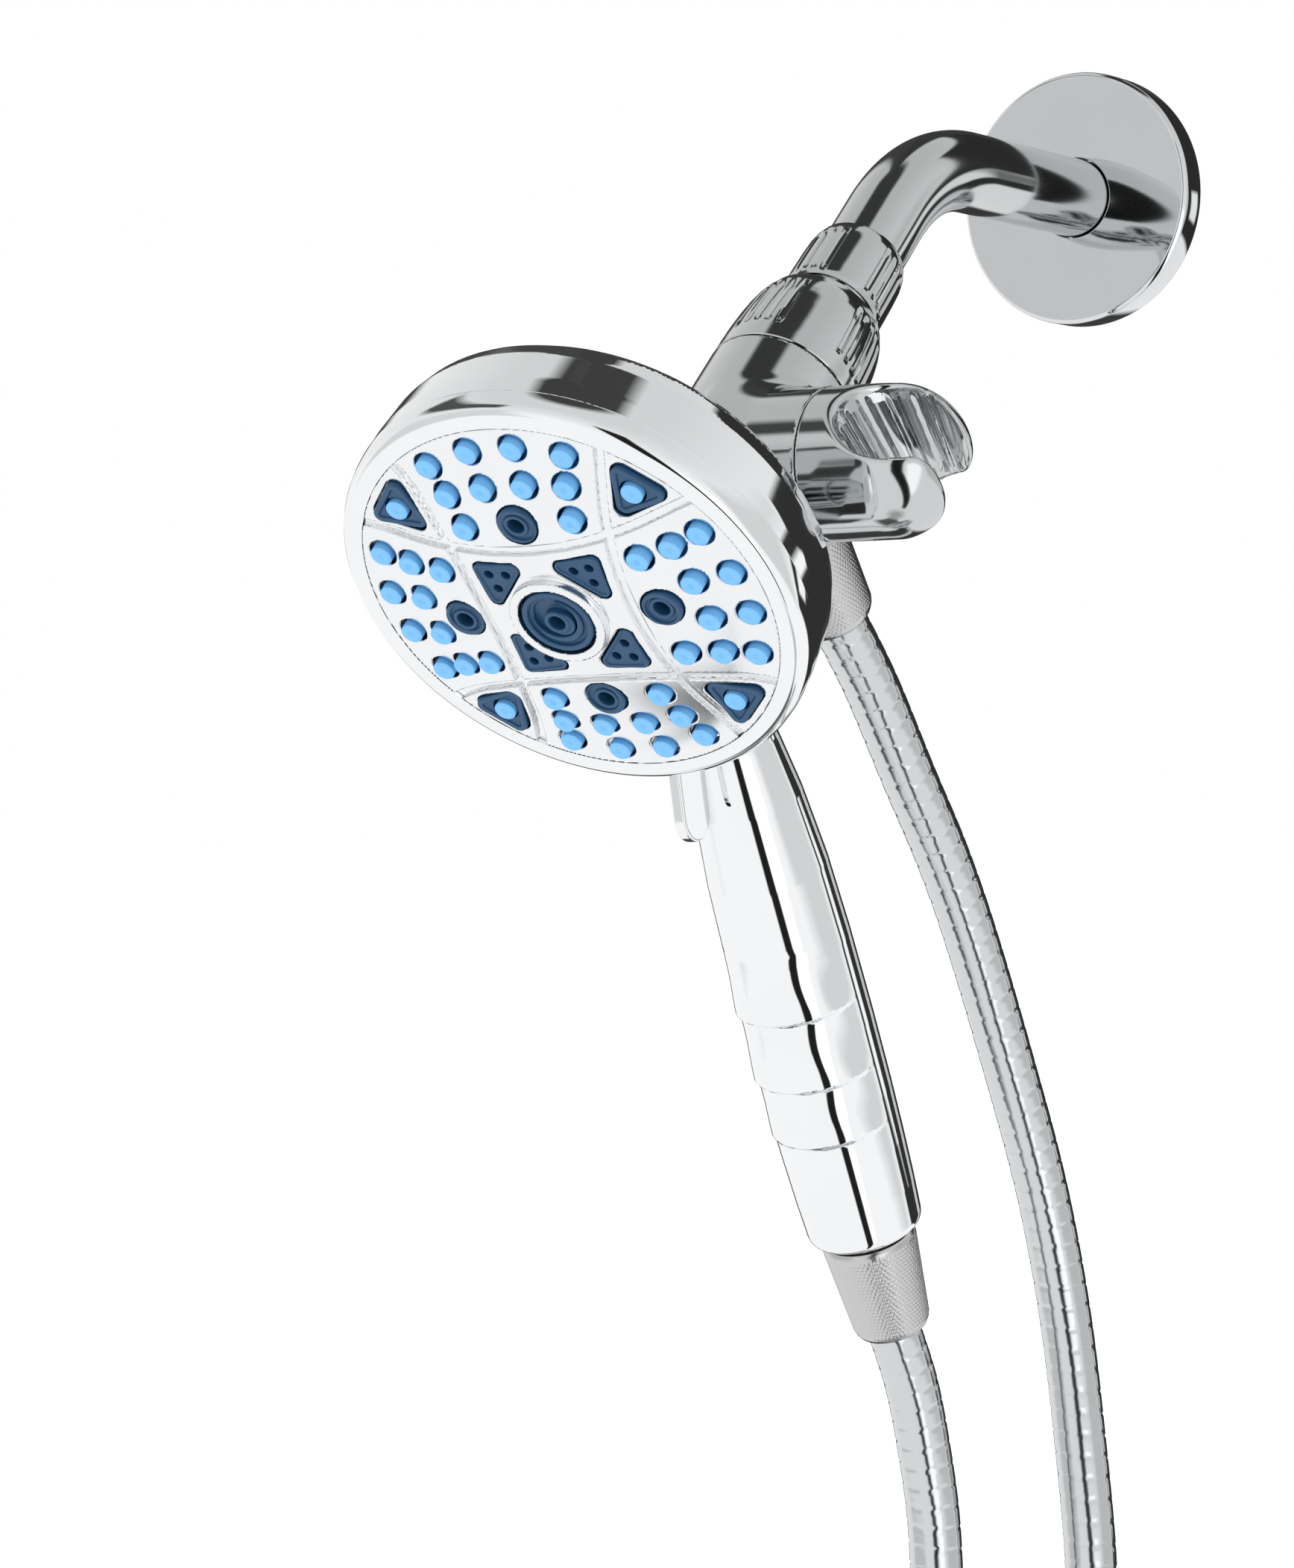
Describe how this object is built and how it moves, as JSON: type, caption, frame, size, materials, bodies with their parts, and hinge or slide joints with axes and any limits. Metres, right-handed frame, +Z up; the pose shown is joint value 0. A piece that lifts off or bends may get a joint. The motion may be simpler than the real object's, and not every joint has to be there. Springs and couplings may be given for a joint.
{
  "type": "handheld shower set",
  "caption": "Chrome wall shower arm with a ball-jointed bracket and side cradle, a round multi-jet handset with a mode lever, and a metal hose.",
  "frame": {"origin": "centre of the wall flange's back, on the arm's axis, in the plane of the wall", "axes": "+Y into the wall along the arm's straight, +Z up, +X to the right seen from the room"},
  "size_m": [0.1642, 0.286, 0.6142],
  "materials": {
    "chrome": "polished",
    "brushed": "satin",
    "brass": "satin",
    "chrome_plastic": "polished",
    "white_plastic": "satin",
    "blue_plastic": "satin",
    "silicone": "satin",
    "rubber": "matte",
    "hose": "satin"
  },
  "bodies": {
    "wall_arm": {"wall_flange": "chrome", "shower_arm": "chrome", "ball_adapter": "chrome"},
    "swivel": {"ball_seat": "white_plastic"},
    "bracket": {"retaining_nut": "chrome", "ball_seal": "rubber", "bracket_body": "chrome", "cradle_washer": "white_plastic", "cradle_screw": "brass", "bracket_hose_washer": "rubber", "bracket_hose_ferrule": "brass", "hose_run_bracket": "hose", "hose_run_handset": "hose", "hose_coil": "hose", "coil_tie": "rubber"},
    "cradle": {"cradle": "chrome_plastic"},
    "bracket_nut": {"bracket_hose_nut": "brushed"},
    "handset": {"face_plate": "chrome_plastic", "jet_insert": "blue_plastic", "nozzle_mat": "silicone", "centre_jet": "blue_plastic", "bezel_ring": "chrome_plastic", "handset_shell": "chrome_plastic", "flow_plate": "white_plastic", "inlet_gasket": "rubber", "inlet_elbow": "white_plastic", "water_tube": "white_plastic", "inlet_thread": "brass", "filter_screen": "brushed", "handset_hose_washer": "rubber", "handset_hose_ferrule": "brass"},
    "selector": {"selector_disc": "white_plastic", "mode_lever": "chrome_plastic"},
    "handset_nut": {"handset_hose_nut": "brushed"}
  },
  "joints": [
    {"name": "bracket_tilt", "type": "hinge", "parent": "wall_arm", "child": "swivel", "pos_m": [0, -0.14282, -0.05172], "axis": [1, 0, 0], "range_deg": [-10, 10]},
    {"name": "bracket_swivel", "type": "hinge", "parent": "swivel", "child": "bracket", "pos_m": [0, -0.14282, -0.05172], "axis": [0, -0.712, -0.7022], "range_deg": [-40, 40]},
    {"name": "cradle_turn", "type": "hinge", "parent": "bracket", "child": "cradle", "pos_m": [0, -0.17713, -0.08557], "axis": [1, 0, 0], "range_deg": [-40, 40]},
    {"name": "bracket_nut_spin", "type": "hinge", "parent": "bracket", "child": "bracket_nut", "pos_m": [0, -0.15056, -0.09899], "axis": [0, 0.7022, -0.712], "continuous": true},
    {"name": "handset_lift", "type": "slide", "parent": "bracket", "child": "handset", "axis": [-0.2276, -0.9671, 0.1138], "range_m": [0, 0.04]},
    {"name": "mode_turn", "type": "hinge", "parent": "handset", "child": "selector", "pos_m": [-0.0092, -0.2326, -0.1198], "axis": [0.063, -0.7117, -0.6997], "range_deg": [-14, 14]},
    {"name": "handset_nut_spin", "type": "hinge", "parent": "handset", "child": "handset_nut", "pos_m": [-0.01511, -0.09257, -0.27639], "axis": [-0.0111, 0.4588, -0.8885], "continuous": true}
  ]
}
